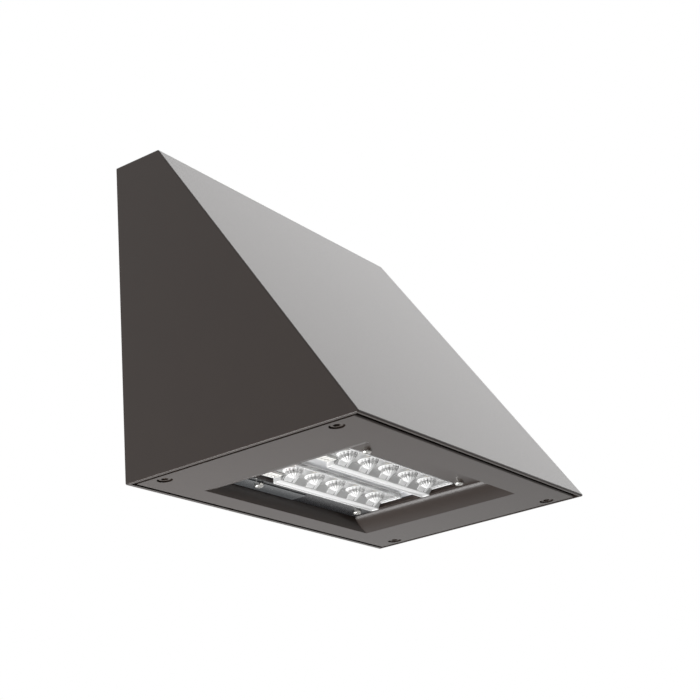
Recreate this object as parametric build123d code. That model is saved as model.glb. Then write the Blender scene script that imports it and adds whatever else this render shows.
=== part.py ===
from build123d import *

import os
from math import hypot

# Wedge-shaped wall pack light with a hinged, downward-facing LED door.
#
# Millimetres. Everything is laid out in the rim frame: X to the right, -Y away from the wall
# (the wall is y = 0), Z up from the housing's bottom rim. keep() then lowers each piece, so that
# the stored origin is the centre of the wall plate, on the wall.

# ---- housing ---------------------------------------------------------------------------------
width = 406.0             # across the bottom rim
depth = 242.0             # wall to front lip
height = 312.0            # bottom rim to flat top
top_depth = 51.0          # flat top, wall to front
side_draft = 11.65        # each side leans in by this much at the top
lip_height = 1.8          # small upright face at the front lip
wall = 3.3                # cast wall
edge_round = 1.6          # outer cast edges
rim_round = 1.2           # outer edge of the rim
mount_below_top = 162.0   # wall plate's centre below the flat top
deck_height = 7.0         # sealing deck above the rim
trough_depth = 19.0       # hinge trough along the wall
trough_height = 16.0      # its roof above the rim
back_window = 140.0       # square opening in the back wall
window_margin_side = 10.0  # door skirt to the deck's window
window_margin_front = 6.0
captive_boss_wall = 4.0   # round the captive screw's bore
captive_boss_roof = 3.0   # above it
captive_relief = 1.25     # foot of the bore, wider each side than the thread

# ---- door ------------------------------------------------------------------------------------
rim_gap = 3.3             # door edge to rim
door_thickness = 3.0
door_drop = 0.0           # door face below the rim
door_lip_round = 1.4      # front edge of the door
opening_width = 263.0     # light opening in the door face
opening_inset_front = 39.2  # front lip to the opening's front edge
opening_back = 29.0       # its rear edge, from the wall
flare_side = 27.5         # how far the recess draws in at each side
flare_front = 5.0         # at the front
flare_back = 5.5          # at the back
skirt_foot = 0.5          # where the skirt starts inside the door's slab
flare_depth = 12.5        # door face to ledge
skirt_wall = 3.0          # wall of the flared skirt
ledge_thickness = 3.0
ledge_window_width = 196.0
ledge_window_back = 57.0  # rear edge of the window in the ledge, from the wall
ledge_window_front = 162.4  # its front edge
land_width = 14.0         # flat land round the window, for the gasket
screw_inset_side = 17.5   # door screws, from the rim's outer edges
screw_inset_front = 32.3
screw_inset_back = 29.2
screw_well_d = 14.0       # counterbore in the door face
door_boss_d = 19.0
door_boss_height = 2.5    # front screw boss above the door's inner face
front_seat_wall = 2.4     # door left above the front screws' heads
rear_seat_wall = 0.8      # above the rear ones
pocket_margin = 1.0       # hinge pocket beyond the knuckle

# ---- door screws -----------------------------------------------------------------------------
door_head_d = 11.4
door_head_sunk = 0.9      # head below the door face
door_head_round = 0.5
door_socket_af = 6.0      # hex socket, across flats
door_socket_share = 0.85  # of the head's height
captive_neck_d = 4.2
captive_thread_d = 6.0
captive_thread = 6.0      # threaded length at the tip
captive_tip_bevel = 0.8
captive_travel = 6.5      # how far the captive screw backs out
bore_spare = 1.0          # bore above the screw's tip
thread_clearance = 0.4
rear_screw_d = 5.0
rear_screw_end = 0.8      # shank beyond the hinge leaf

# ---- hinge -----------------------------------------------------------------------------------
hinge_from_wall = 14.5
hinge_above_rim = 4.2
hinge_pin_d = 4.0
knuckle_d = 7.0
knuckle_length = 12.0
hinge_inset = 4.0         # knuckle's middle, inside the door screw's
pin_head_d = 6.5
pin_head_length = 1.6
pin_tail = 1.5            # pin beyond the ear, for its clip
groove_place = 0.4        # clip groove, from the ear
groove_width = 0.6
groove_depth = 0.45
clip_d = 7.0
clip_play = 0.02          # clip to each side of its groove
clip_slot = 2.8
ear_thickness = 5.0
leaf_thickness = 2.4
leaf_width = 22.0
leaf_back = 18.0          # leaf edges, from the wall
leaf_front = 40.0
leaf_corner = 4.0

# ---- light engine ----------------------------------------------------------------------------
led_count = 5             # in each row
led_pitch = 34.0
led_shift = -4.3          # middle of a row, off the light's middle
row_back = 86.3           # LED rows, from the wall
row_front = 145.8
lens_above_rim = 16.0     # lower face of the lens plate
lens_thickness = 3.0
lens_right = 95.6         # right end of the lens strips, from the middle
lens_left = 84.5          # left end
lens_ahead = 10.8         # strip's front edge, ahead of its LED row
ridge_start = 17.0        # ridge behind the LED row
ridge_width = 9.3
ridge_depth = 6.0
ridge_left = 69.0
corner_cut = 4.0          # strip's rear left corner, cut away ahead of the ridge
dome_d = 18.8
dome_depth = 8.5
dome_root = 0.5           # dome inside the plate
led_pocket_d = 7.0
led_pocket_depth = 1.5
lens_seal_thickness = 0.4
lens_seal_width = 2.0
board_thickness = 1.6
board_right = 94.0
board_left = 94.0
board_margin = 1.0        # board edge inside the lens strip's edge
led_d = 3.4
led_height = 1.0
led_base_height = 0.6
emitter_d = 2.72
connector_length = 21.0
connector_width = 10.0
connector_height = 5.5
connector_left = 92.0
connector_ports = 4
port_size = (2.6, 6.0, 2.0)
contact_size = (1.6, 4.4, 1.0)
contact_depth = 1.0       # contact above the port's mouth
gasket_thickness = 1.0    # between ledge and heat sink
plate_thickness = 5.0     # heat sink base
fin_height = 22.0
fin_thickness = 2.5
fin_pitch = 22.0
module_screw_left = 76.3  # module screws, from the middle
module_screw_right = 86.0
module_screw_back = 49.2  # from the wall
module_screw_ahead = 5.5  # front ones, ahead of the ledge window's front edge
module_head_d = 8.7
module_head_height = 3.0
module_head_round = 1.6
recess_span = 5.0         # cross recess in the head
recess_width = 1.1
recess_depth = 1.1
module_thread_d = 4.0
module_thread_reach = 6.0  # into the heat sink
thread_end_room = 2.0
trim_thickness = 0.8
trim_edge = 0.5           # trim to the recess's foot
cover_edge = 1.5          # wire cover to the recess's foot
cover_front = 4.6         # and to the trim's front edge
cover_end = 6.0           # its right end, left of the middle

# ---- door gasket -----------------------------------------------------------------------------
seal_width = 4.4
seal_margin = 1.2         # seal to deck window edge

# ---- wall plate ------------------------------------------------------------------------------
plate_flange = 170.0      # square flange inside the housing
wall_plate_thickness = 3.0
plate_corner = 8.0
pad_clearance = 2.0       # pad to window edge, each side
plate_seal_thickness = 2.0
plate_screw_spacing = 155.0
plate_screw_d = 4.0
plate_head = (8.0, 2.6, 1.2)  # diameter, height and rounding
thread_end = 0.4          # screws end this far short of a face
box_screw_spacing = 88.9  # junction box screws, side by side
box_screw_hole_d = 5.2
lag_spacing = 116.0       # wall lag holes, square pattern
lag_hole_d = 6.5
wire_hole_below = 27.0    # wire hole below the plate's centre
wire_hole_d = 20.0
bushing_bore_d = 14.0
bushing_lip = 2.0

# ---- gear above the deck ---------------------------------------------------------------------
boss_d = 10.0
gear_boss_height = 6.0    # bosses on the back wall
tray_width = 262.0
tray_height = 52.0
tray_thickness = 1.5
tray_below_top = 50.0     # middle of the tray, below the flat top
tray_hole_inset = 8.0
tray_fold = 4.0
tray_fold_end = 22.0      # folded edges stop this far from the tray's ends
driver_length = 210.0
driver_height = 46.0
driver_depth = 32.0
driver_wall = 1.6
driver_round = 1.5
cap_thickness = 2.0
lug_length = 14.0
lug_width = 16.0
surge_size = (42.0, 26.0, 54.0)
surge_round = 3.0
terminal_size = (52.0, 22.0, 24.0)
pole_count = 3
pole_d = 6.0
pole_depth = 9.0
pole_screw_d = 5.4
pole_screw_length = 4.0
gear_side = 128.0         # surge protector and terminal block, from the middle
gear_below_tray = 102.0   # and below the tray's middle
gear_screw_d = 4.0
gear_head = (7.5, 2.4, 1.1)  # diameter, height and rounding
gear_plate_thickness = 2.0
strap_width = 14.0        # mounting straps of the surge protector and terminal block
strap_length = 14.0       # past the body, with the screw half-way
ground_below_gear = 45.0
ground_lug_thickness = 0.8
ground_ring_d = 9.0
ground_tail = (4.4, 13.0)  # width, and length from the screw
ground_bend = 5.0
wire_d = 2.4
wire_bend = 6.0
port_apart = 4.5          # wire ports, to each side of the terminal block's middle
input_rise = 16.0         # driver input leads: straight up from the terminal block
input_run = 18.0          # then up and outwards
input_step = 6.0          # second lead above the first
input_out = 26.0          # leads pass this far outside the driver
input_apart = 7.0
driver_port_low = 7.0     # first lead enters below the driver's middle
driver_ports_apart = 12.0
surge_port = 9.0          # surge leads leave this far right of the middle
surge_ports_apart = 12.0
surge_under_tray = 7.0    # surge leads below the tray
surge_levels_apart = 5.0
socket_size = (20.0, 18.0, 12.0)
socket_corner = 2.0
socket_room = (3.0, 6.0)  # fins cut back round the socket, in x and y
collar_d = 12.0
collar_height = 6.0
lead_hole_d = 10.0        # wires pass the heat sink here
board_lead_d = 1.8
board_lead_bend = 3.0
board_leads_apart = 3.0
board_lead_past = 2.2     # leads from the two boards, either side of the hole's middle
lead_d = 6.0
lead_bend = 14.0
# bends of the module lead, from the driver's right end and then from the socket's top
lead_from_driver = [(22.0, 0.0, 0.0), (22.0, -8.0, -60.0), (-55.0, -34.0, -120.0)]
lead_to_socket = [(60.0, 30.0, 62.0), (0.0, 0.0, 46.0)]

fit = 0.05                # pieces that seat in each other
running = 0.08            # turning fit of the hinge
clear = 0.3               # pieces that pass each other
past = 1.0                # how far a cut runs past the face it opens


# ---- helpers ---------------------------------------------------------------------------------
def block(x, y, z):
    """Box between low and high values of x, y and z."""
    size = [high - low for low, high in (x, y, z)]
    middle = [(high + low) / 2 for low, high in (x, y, z)]
    return Pos(*middle) * Box(*size)


def rod_z(x, y, diameter, z0, z1):
    return Pos(x, y, (z0 + z1) / 2) * Cylinder(diameter / 2, abs(z1 - z0))


def rod_y(x, z, diameter, y0, y1):
    return Pos(x, (y0 + y1) / 2, z) * Rot(90, 0, 0) * Cylinder(diameter / 2, abs(y1 - y0))


def rod_x(y, z, diameter, x0, x1):
    return Pos((x0 + x1) / 2, y, z) * Rot(0, 90, 0) * Cylinder(diameter / 2, abs(x1 - x0))


def along_x(outline, half):
    """Solid of a closed y-z outline, from -half to +half in x."""
    return extrude(Plane.YZ * make_face(outline), half, both=True)


def along_y(outline, reach):
    """Solid of a closed x-z outline, from reach in front of the wall to reach behind it."""
    return extrude(Plane.XZ * make_face(outline), reach, both=True)


def closed(*points):
    return Polyline(*points, close=True)


def pan_head(d, h, round_by):
    """Pan head standing on z = 0 with its top at h, rounded over."""
    head = Pos(0, 0, h / 2) * Cylinder(d / 2, h)
    return fillet(head.faces().sort_by(Axis.Z)[-1].edges(), round_by)


def wire(points, bend, diameter):
    """Round wire along straight runs joined by arcs of one bend radius."""
    path = FilletPolyline(*points, radius=bend)
    start = Plane(origin=path @ 0, z_dir=path % 0)
    return sweep(start * Circle(diameter / 2), path=path)


def keep(name, solid):
    os.makedirs("parts", exist_ok=True)
    export_step(Pos(0, 0, -mount_height) * solid, f"parts/{name}.step")


# ---- stations shared by the pieces -----------------------------------------------------------
mount_height = height - mount_below_top
slope_run = depth - top_depth
slope_rise = height - lip_height
slope_length = hypot(slope_run, slope_rise)
side_stretch = hypot(1, side_draft / height)


def slope_y(z, inset=0.0):
    """y of the sloping front, set in by inset, at height z."""
    return -depth + (z - lip_height) * slope_run / slope_rise + inset * slope_length / slope_rise


def side_x(z, inset=0.0):
    """Half width of the housing at height z, set in by inset."""
    return width / 2 - side_draft * z / height - inset * side_stretch


door_face = -door_drop
door_top = door_face + door_thickness
door_half = side_x(0, wall) - rim_gap
door_back = -wall - rim_gap
deck_top = deck_height + wall
ledge_face = door_face + flare_depth
ledge_top = ledge_face + ledge_thickness
opening_front = depth - opening_inset_front
foot_half = opening_width / 2 - flare_side
foot_front = -opening_front + flare_front
foot_back = -opening_back - flare_back
window_half = ledge_window_width / 2
window_front = -ledge_window_front
window_back = -ledge_window_back
land_half = window_half + land_width
land_front = window_front - land_width
land_back = min(window_back + land_width, foot_back + skirt_wall)
sink_back = window_back + land_width
deck_half = max(opening_width / 2, land_half) + skirt_wall + window_margin_side
deck_front = min(-opening_front, land_front) - skirt_wall - window_margin_front
deck_back = -trough_depth - wall - seal_width / 2
lens_top = lens_above_rim + lens_thickness
board_face = lens_top + lens_seal_thickness
board_top = board_face + board_thickness
sink_face = board_top
sink_top = sink_face + plate_thickness
fin_top = sink_top + fin_height
rail_foot = ledge_top + gasket_thickness
plate_face = -wall - plate_seal_thickness
door_screws_x = width / 2 - screw_inset_side
hinge_x = door_screws_x - hinge_inset
ear_reach = knuckle_length / 2 + clear + ear_thickness
pocket_reach = ear_reach + max(pin_head_length, pin_tail) + clear
front_screw_y = -depth + screw_inset_front
rear_screw_y = -screw_inset_back
led_xs = [led_shift + (i - (led_count - 1) / 2) * led_pitch for i in range(led_count)]
rows = {"back": -row_back, "front": -row_front}
ridge_back = ridge_start + ridge_width
valley_y = (rows["front"] + ridge_back + rows["back"] - lens_ahead) / 2
connector_right = connector_left - connector_length
lead_x = -(connector_left + lens_left) / 2
module_screw_xs = (-module_screw_left, module_screw_right)
rear_module_screws = [(x, -module_screw_back) for x in module_screw_xs]
front_module_screws = [(x, window_front - module_screw_ahead) for x in module_screw_xs]
module_screws = rear_module_screws + front_module_screws
tray_above_rim = height - tray_below_top
gear_above_rim = tray_above_rim - gear_below_tray


# ---- housing ---------------------------------------------------------------------------------
def wedge(inset, foot=0.0):
    """Closed wedge of the housing's shape, its faces set in by inset, from z = foot up."""
    side = closed((-inset, foot), (-inset, height - inset), (slope_y(height - inset, inset), height - inset),
                  (slope_y(max(foot, lip_height), inset), max(foot, lip_height)),
                  *([(slope_y(lip_height, inset), foot)] if foot < lip_height else []))
    top = height - inset
    front = closed((-side_x(foot, inset), foot), (side_x(foot, inset), foot),
                   (side_x(top, inset), top), (-side_x(top, inset), top))
    return along_x(side, width) & along_y(front, depth + past)


def cavity_wedge(inset, foot):
    """Inner wedge, whose slope runs straight down past the lip."""
    top = height - inset
    side = closed((-inset, foot), (-inset, top), (slope_y(top, inset), top), (slope_y(foot, inset), foot))
    front = closed((-side_x(foot, inset), foot), (side_x(foot, inset), foot),
                   (side_x(top, inset), top), (-side_x(top, inset), top))
    return along_x(side, width) & along_y(front, depth + past)


def hinge_sides():
    """Both hinge places: side sign and the middle of the knuckle."""
    return [(sign, sign * hinge_x) for sign in (-1, 1)]


def gear_bosses():
    """Places on the back wall where the tray, surge protector and terminal block are screwed."""
    tray = [(sx * (tray_width / 2 - tray_hole_inset), tray_above_rim + sz * (tray_height / 2 - tray_hole_inset))
            for sx in (-1, 1) for sz in (-1, 1)]
    surge = [(gear_side, gear_above_rim + sz * (surge_size[2] + strap_length) / 2) for sz in (-1, 1)]
    terminal = [(-gear_side + sx * (terminal_size[0] + strap_length) / 2, gear_above_rim) for sx in (-1, 1)]
    return tray, surge, terminal


def ground_place():
    return -gear_side, gear_above_rim - ground_below_gear


def housing():
    shell = wedge(0)
    # cast edges rounded, all but the fold between lip and slope
    outer_edges = [e for e in shell.edges() if e.center().Z > fit and e.center().Y < -past
                   and abs(e.center().Z - lip_height) > fit]
    shell = fillet(outer_edges, edge_round)
    rim_edges = [e for e in shell.edges() if abs(e.center().Z) < fit and e.center().Y < -past]
    shell = fillet(rim_edges, rim_round)
    shell -= cavity_wedge(wall, -past)
    trim = cavity_wedge(wall / 2, 0)

    # sealing deck with its window, and the hinge trough along the wall
    deck = block((-width, width), (-depth, -trough_depth), (deck_height, deck_top))
    deck -= block((-deck_half, deck_half), (deck_front, deck_back), (0, height))
    web = block((-width, width), (-trough_depth - wall, -trough_depth), (deck_height, trough_height + wall))
    roof = block((-width, width), (-trough_depth - wall, 0), (trough_height, trough_height + wall))
    inner = (deck + web + roof) & trim

    # ears that carry the hinge pins
    for sign, middle in hinge_sides():
        for side in (-1, 1):
            inner_x = middle + side * (knuckle_length / 2 + clear)
            outer_x = inner_x + side * ear_thickness
            low, high = sorted((inner_x, outer_x))
            ear = block((low, high), (-hinge_from_wall - knuckle_d / 2, -hinge_from_wall + knuckle_d / 2),
                        (hinge_above_rim, trough_height))
            inner += ear + rod_x(-hinge_from_wall, hinge_above_rim, knuckle_d, low, high)

    # bosses for the captive screws
    for sign in (-1, 1):
        inner += rod_z(sign * door_screws_x, front_screw_y, captive_thread_d + 2 * captive_boss_wall,
                       deck_height, screw_stations()["bore_top"] + captive_boss_roof)
    # bosses on the back wall
    for places in gear_bosses():
        for x, z in places:
            inner += rod_y(x, z, boss_d, -wall - gear_boss_height, -wall / 2)
    gx, gz = ground_place()
    inner += rod_y(gx, gz, boss_d, -wall - gear_boss_height, -wall / 2)
    shell += inner

    # cuts
    half = back_window / 2
    shell -= block((-half, half), (-wall - past, past), (mount_height - half, mount_height + half))
    for sign in (-1, 1):
        x = sign * door_screws_x
        stations = screw_stations()
        shell -= rod_z(x, front_screw_y, captive_thread_d + 2 * captive_relief, deck_height - past,
                       stations["bore_foot"])
        shell -= rod_z(x, front_screw_y, captive_thread_d + 2 * thread_clearance, deck_height,
                       stations["bore_top"])
    for sign, middle in hinge_sides():
        shell -= rod_x(-hinge_from_wall, hinge_above_rim, hinge_pin_d + 2 * fit, middle - ear_reach - past,
                       middle + ear_reach + past)
    for places in gear_bosses():
        for x, z in places:
            shell -= rod_y(x, z, gear_screw_d + 2 * fit, -wall - gear_boss_height - past, -wall)
    shell -= rod_y(gx, gz, gear_screw_d + 2 * fit, -wall - gear_boss_height - past, -wall)
    for x, z in plate_screw_places():
        shell -= rod_y(x, z, plate_screw_d + 2 * fit, -wall - past, past)
    return shell


def plate_screw_places():
    half = plate_screw_spacing / 2
    return [(sx * half, mount_height + sz * half) for sx in (-1, 1) for sz in (-1, 1)]


# ---- door ------------------------------------------------------------------------------------
def flare_curve(wide, narrow, z0, z1):
    """Concave side of the recess: flat near the face, steep at the ledge."""
    run, rise = narrow - wide, z1 - z0
    return Bezier((wide, z0), (wide + 0.88 * run, z0 + 0.41 * rise), (narrow, z1))


def flare(grow, z0, z1):
    """Recess block between the face and the ledge, grown outwards by grow."""
    a = opening_width / 2 + grow
    b = foot_half + grow
    right = flare_curve(a, b, z0, z1)
    left = flare_curve(-a, -b, z0, z1)
    across = make_face([right, Line((b, z1), (-b, z1)), left, Line((-a, z0), (a, z0))])
    f0, f1 = -opening_front - grow, foot_front - grow
    k0, k1 = -opening_back + grow, foot_back + grow
    front = flare_curve(f0, f1, z0, z1)
    back = flare_curve(k0, k1, z0, z1)
    fore = make_face([front, Line((f1, z1), (k1, z1)), back, Line((k0, z0), (f0, z0))])
    wide = extrude(Plane.XZ * across, depth, both=True)
    deep = extrude(Plane.YZ * fore, width, both=True)
    return wide & deep


def door_frame():
    front_foot = slope_y(door_face, wall) + rim_gap
    front_head = slope_y(door_top, wall) + rim_gap
    outline = closed((door_back, door_face), (door_back, door_top), (front_head, door_top),
                     (front_foot, door_face))
    slab = along_x(outline, door_half)
    lip = slab.faces().sort_by(Axis.Z)[0].edges().sort_by(Axis.Y)[0]
    slab = fillet(lip, door_lip_round)
    skirt = flare(skirt_wall, door_face + skirt_foot, ledge_top)
    land = block((-land_half, land_half), (land_front, land_back), (ledge_face, ledge_top))
    door = slab + skirt + land
    for sign in (-1, 1):
        door += rod_z(sign * door_screws_x, front_screw_y, door_boss_d, door_top - past,
                      door_top + door_boss_height)
    door -= flare(0, door_face, ledge_face)
    door -= block((-window_half, window_half), (window_front, window_back),
                  (door_face - past, ledge_top + past))
    for x, y in module_screws:
        door -= rod_z(x, y, module_thread_d + 2 * clear, ledge_face - past, ledge_top + past)
    stations = screw_stations()
    for sign in (-1, 1):
        x = sign * door_screws_x
        door -= rod_z(x, front_screw_y, screw_well_d, door_face - past, stations["front_seat"])
        door -= rod_z(x, front_screw_y, captive_neck_d + 2 * clear, door_face, deck_height)
        door -= rod_z(x, rear_screw_y, screw_well_d, door_face - past, stations["rear_seat"])
        door -= rod_z(x, rear_screw_y, rear_screw_d + 2 * clear, door_face, door_top + past)
    # pockets under the knuckles and ears, open to the door's rear edge
    for sign, middle in hinge_sides():
        door -= block((middle - pocket_reach, middle + pocket_reach),
                      (-hinge_from_wall - knuckle_d / 2 - pocket_margin, door_back + past),
                      (hinge_above_rim - knuckle_d / 2 - clear, door_top + past))
    return door


def screw_stations():
    """Heights that the door screws, their wells and their bores share."""
    front_seat = door_top + door_boss_height - front_seat_wall
    rear_seat = door_top - rear_seat_wall
    thread_foot = door_top + door_boss_height + captive_travel
    tip = thread_foot + captive_thread
    return {"front_seat": front_seat, "rear_seat": rear_seat, "thread_foot": thread_foot, "tip": tip,
            "bore_foot": thread_foot - clear, "bore_top": tip + bore_spare}


def door_head(x, y, seat):
    """Flat round head with a hex socket, flush with the door face."""
    foot = door_face + door_head_sunk
    head = rod_z(x, y, door_head_d, foot, seat)
    head = fillet(head.faces().sort_by(Axis.Z)[0].edges(), door_head_round)
    socket = extrude(Pos(x, y, foot - past) * RegularPolygon(door_socket_af / 2, 6, major_radius=False),
                     past + door_socket_share * (seat - foot))
    return head - socket


def captive_screw(sign):
    s = screw_stations()
    x = sign * door_screws_x
    neck = rod_z(x, front_screw_y, captive_neck_d, s["front_seat"], s["thread_foot"])
    thread = rod_z(x, front_screw_y, captive_thread_d, s["thread_foot"], s["tip"])
    thread = chamfer(thread.faces().sort_by(Axis.Z)[-1].edges(), captive_tip_bevel)
    return door_head(x, front_screw_y, s["front_seat"]) + neck + thread


def rear_screws():
    s = screw_stations()
    screws = []
    for sign in (-1, 1):
        x = sign * door_screws_x
        shank = rod_z(x, rear_screw_y, rear_screw_d, s["rear_seat"],
                      door_top + leaf_thickness + rear_screw_end)
        screws.append(door_head(x, rear_screw_y, s["rear_seat"]) + shank)
    return Compound(screws)


def hinge_leaf(sign):
    middle = sign * hinge_x
    half = leaf_width / 2
    leaf = block((middle - half, middle + half), (-leaf_front, -leaf_back),
                 (door_top, door_top + leaf_thickness))
    leaf = fillet(leaf.edges().filter_by(Axis.Z).group_by(Axis.Y)[0], leaf_corner)
    half = knuckle_length / 2
    neck = block((middle - half, middle + half), (-leaf_back - past, -hinge_from_wall),
                 (door_top, door_top + leaf_thickness))
    knuckle = rod_x(-hinge_from_wall, hinge_above_rim, knuckle_d, middle - half, middle + half)
    leaf = leaf + neck + knuckle
    leaf -= rod_x(-hinge_from_wall, hinge_above_rim, hinge_pin_d + 2 * running, middle - half - past,
                  middle + half + past)
    leaf -= rod_z(sign * door_screws_x, rear_screw_y, rear_screw_d + 2 * fit, door_top - past,
                  door_top + leaf_thickness + past)
    return leaf


def hinge_pin(sign):
    """Headed pin through both ears and the knuckle, pushed in from the middle of the light."""
    middle = sign * hinge_x
    inner_end = middle - sign * ear_reach
    outer_end = middle + sign * (ear_reach + pin_tail)
    low, high = sorted((inner_end, outer_end))
    pin = rod_x(-hinge_from_wall, hinge_above_rim, hinge_pin_d, low, high)
    head_low, head_high = sorted((inner_end, inner_end - sign * pin_head_length))
    head = rod_x(-hinge_from_wall, hinge_above_rim, pin_head_d, head_low, head_high)
    groove_x = middle + sign * (ear_reach + groove_place)
    low, high = sorted((groove_x, groove_x + sign * groove_width))
    groove = rod_x(-hinge_from_wall, hinge_above_rim, hinge_pin_d + past, low, high)
    groove -= rod_x(-hinge_from_wall, hinge_above_rim, hinge_pin_d - 2 * groove_depth, low - past, high + past)
    return pin + head - groove


def pin_clips():
    """Retaining rings in the grooves of the hinge pins."""
    clips = []
    for sign, middle in hinge_sides():
        inner = ear_reach + groove_place + clip_play
        outer = ear_reach + groove_place + groove_width - clip_play
        low, high = sorted((middle + sign * inner, middle + sign * outer))
        ring = rod_x(-hinge_from_wall, hinge_above_rim, clip_d, low, high)
        bore = hinge_pin_d - 2 * groove_depth + 2 * fit
        ring -= rod_x(-hinge_from_wall, hinge_above_rim, bore, low - past, high + past)
        ring -= block((low - past, high + past), (-hinge_from_wall, -hinge_from_wall + clip_d),
                      (hinge_above_rim - clip_slot / 2, hinge_above_rim + clip_slot / 2))
        clips.append(ring)
    return Compound(clips)


def door_gasket():
    half = deck_half + seal_margin
    front = deck_front - seal_margin
    back = deck_back + seal_width + clear
    top = deck_height - clear
    ring = block((-half - seal_width, half + seal_width), (front - seal_width, back), (door_top, top))
    return ring - block((-half, half), (front, back - seal_width), (door_top - past, top + past))


# ---- light engine ----------------------------------------------------------------------------
def heat_sink():
    sink = block((-land_half, land_half), (land_front, sink_back), (rail_foot, sink_top))
    sink -= block((-window_half - clear, window_half + clear), (window_front - clear, window_back + clear),
                  (rail_foot - past, sink_face))
    count = int((2 * land_half - fin_thickness) / fin_pitch) + 1
    first = -(count - 1) / 2 * fin_pitch
    for i in range(count):
        x = first + i * fin_pitch
        sink += block((x - fin_thickness / 2, x + fin_thickness / 2), (land_front, sink_back),
                      (sink_top - past, fin_top))
    room_x = socket_size[0] / 2 + socket_room[0]
    room_y = socket_size[1] / 2 + socket_room[1]
    sink -= block((lead_x - room_x, lead_x + room_x), (valley_y - room_y, valley_y + room_y),
                  (sink_top, fin_top + past))
    sink -= rod_z(lead_x, valley_y, lead_hole_d, rail_foot, sink_top + past)
    for x, y in module_screws:
        sink -= rod_z(x, y, module_thread_d + 2 * fit, rail_foot - past,
                      rail_foot + module_thread_reach + thread_end_room)
    return sink


def module_gasket():
    ring = block((-land_half, land_half), (land_front, sink_back), (ledge_top, rail_foot))
    ring -= block((-window_half, window_half), (window_front, window_back),
                  (ledge_top - past, rail_foot + past))
    for x, y in module_screws:
        ring -= rod_z(x, y, module_thread_d + 2 * clear, ledge_top - past, rail_foot + past)
    return ring


def lens_strip(row):
    y = rows[row]
    strip = block((-lens_left, lens_right), (y - lens_ahead, y + ridge_back), (lens_above_rim, lens_top))
    strip += block((-ridge_left, lens_right), (y + ridge_start, y + ridge_back),
                   (lens_above_rim - ridge_depth, lens_above_rim))
    strip -= block((-lens_left - past, -ridge_left), (y + ridge_start - corner_cut, y + ridge_back + past),
                   (lens_above_rim - ridge_depth - past, lens_top + past))
    half = dome_d / 2
    side = Bezier((half, 0), (0.93 * half, -0.62 * dome_depth), (0.5 * half, -dome_depth), (0, -dome_depth))
    bowl = make_face([Line((0, -dome_depth), (0, dome_root)), Line((0, dome_root), (half, dome_root)),
                      Line((half, dome_root), (half, 0)), side])
    bowl = revolve(Plane.XZ * bowl, Axis.Z)
    for x in led_xs:
        strip += Pos(x, y, lens_above_rim) * bowl
    for x in led_xs:
        strip -= rod_z(x, y, led_pocket_d, lens_top - led_pocket_depth, lens_top + past)
    return strip


def lens_seal(row):
    """Thin seal between the strip and its board, along the strip's edge."""
    y = rows[row]
    low_x, high_x = -lens_left, min(lens_right, board_right)
    front, back = y - lens_ahead + board_margin, y + ridge_start - corner_cut
    ring = block((low_x, high_x), (front, back), (lens_top, board_face))
    return ring - block((low_x + lens_seal_width, high_x - lens_seal_width),
                        (front + lens_seal_width, back - lens_seal_width),
                        (lens_top - past, board_face + past))


def led_board(row):
    y = rows[row]
    return block((-board_left, board_right), (y - lens_ahead + board_margin, y + ridge_back - board_margin),
                 (board_face, board_top))


def led_chips(row):
    """Square package with a round emitter, one under each dome."""
    y = rows[row]
    half = led_d / 2
    chips = []
    for x in led_xs:
        base = block((x - half, x + half), (y - half, y + half), (board_face - led_base_height, board_face))
        chips.append(base + rod_z(x, y, emitter_d, board_face - led_height, board_face))
    return Compound(chips)


def connector_middle(row):
    return rows[row] + ridge_start - corner_cut + clear + connector_width / 2


def port_places():
    step = connector_length / connector_ports
    return [-connector_left + (i + 0.5) * step for i in range(connector_ports)]


def board_connector(row):
    middle = connector_middle(row)
    foot = board_face - connector_height
    half = connector_width / 2
    body = block((-connector_left, -connector_right), (middle - half, middle + half), (foot, board_face))
    px, py, pz = port_size
    for x in port_places():
        body -= block((x - px / 2, x + px / 2), (middle - py / 2, middle + py / 2), (foot - past, foot + pz))
    return body


def connector_contacts():
    """Metal contacts in the connectors' wire ports."""
    cx, cy, cz = contact_size
    foot = board_face - connector_height + contact_depth
    contacts = []
    for row in rows:
        middle = connector_middle(row)
        for x in port_places():
            contacts.append(block((x - cx / 2, x + cx / 2), (middle - cy / 2, middle + cy / 2),
                                  (foot, foot + cz)))
    return Compound(contacts)


def board_leads(row):
    """Two wires from the connector to the hole in the heat sink, ending at the socket."""
    middle = connector_middle(row)
    wires = []
    towards = -1 if middle > valley_y else 1
    start = middle + towards * connector_width / 2
    end = valley_y - towards * board_lead_past
    level = board_face - connector_height / 2
    for side in (-1, 1):
        x = lead_x + side * board_leads_apart / 2
        points = [(x, start, level), (x, end, level), (x, end, sink_top)]
        wires.append(wire(points, board_lead_bend, board_lead_d))
    return Compound(wires)


def module_socket():
    """Sealed plug socket over the lead hole, between the fins."""
    lx, ly, lz = socket_size
    body = block((lead_x - lx / 2, lead_x + lx / 2), (valley_y - ly / 2, valley_y + ly / 2),
                 (sink_top, sink_top + lz))
    body = fillet(body.edges().filter_by(Axis.Z), socket_corner)
    collar = rod_z(lead_x, valley_y, collar_d, sink_top + lz, sink_top + lz + collar_height)
    return body + collar


def module_screw_group():
    seats = [ledge_face - 2 * trim_thickness, ledge_face - trim_thickness, ledge_face, ledge_face]
    cross = Box(recess_span, recess_width, 2 * recess_depth) + Box(recess_width, recess_span, 2 * recess_depth)
    screws = []
    for (x, y), seat in zip(module_screws, seats):
        head = pan_head(module_head_d, module_head_height, module_head_round)
        head -= Pos(0, 0, module_head_height) * cross
        head = Pos(x, y, seat) * Rot(180, 0, 0) * head
        screws.append(head + rod_z(x, y, module_thread_d, seat, rail_foot + module_thread_reach))
    return Compound(screws)


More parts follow.
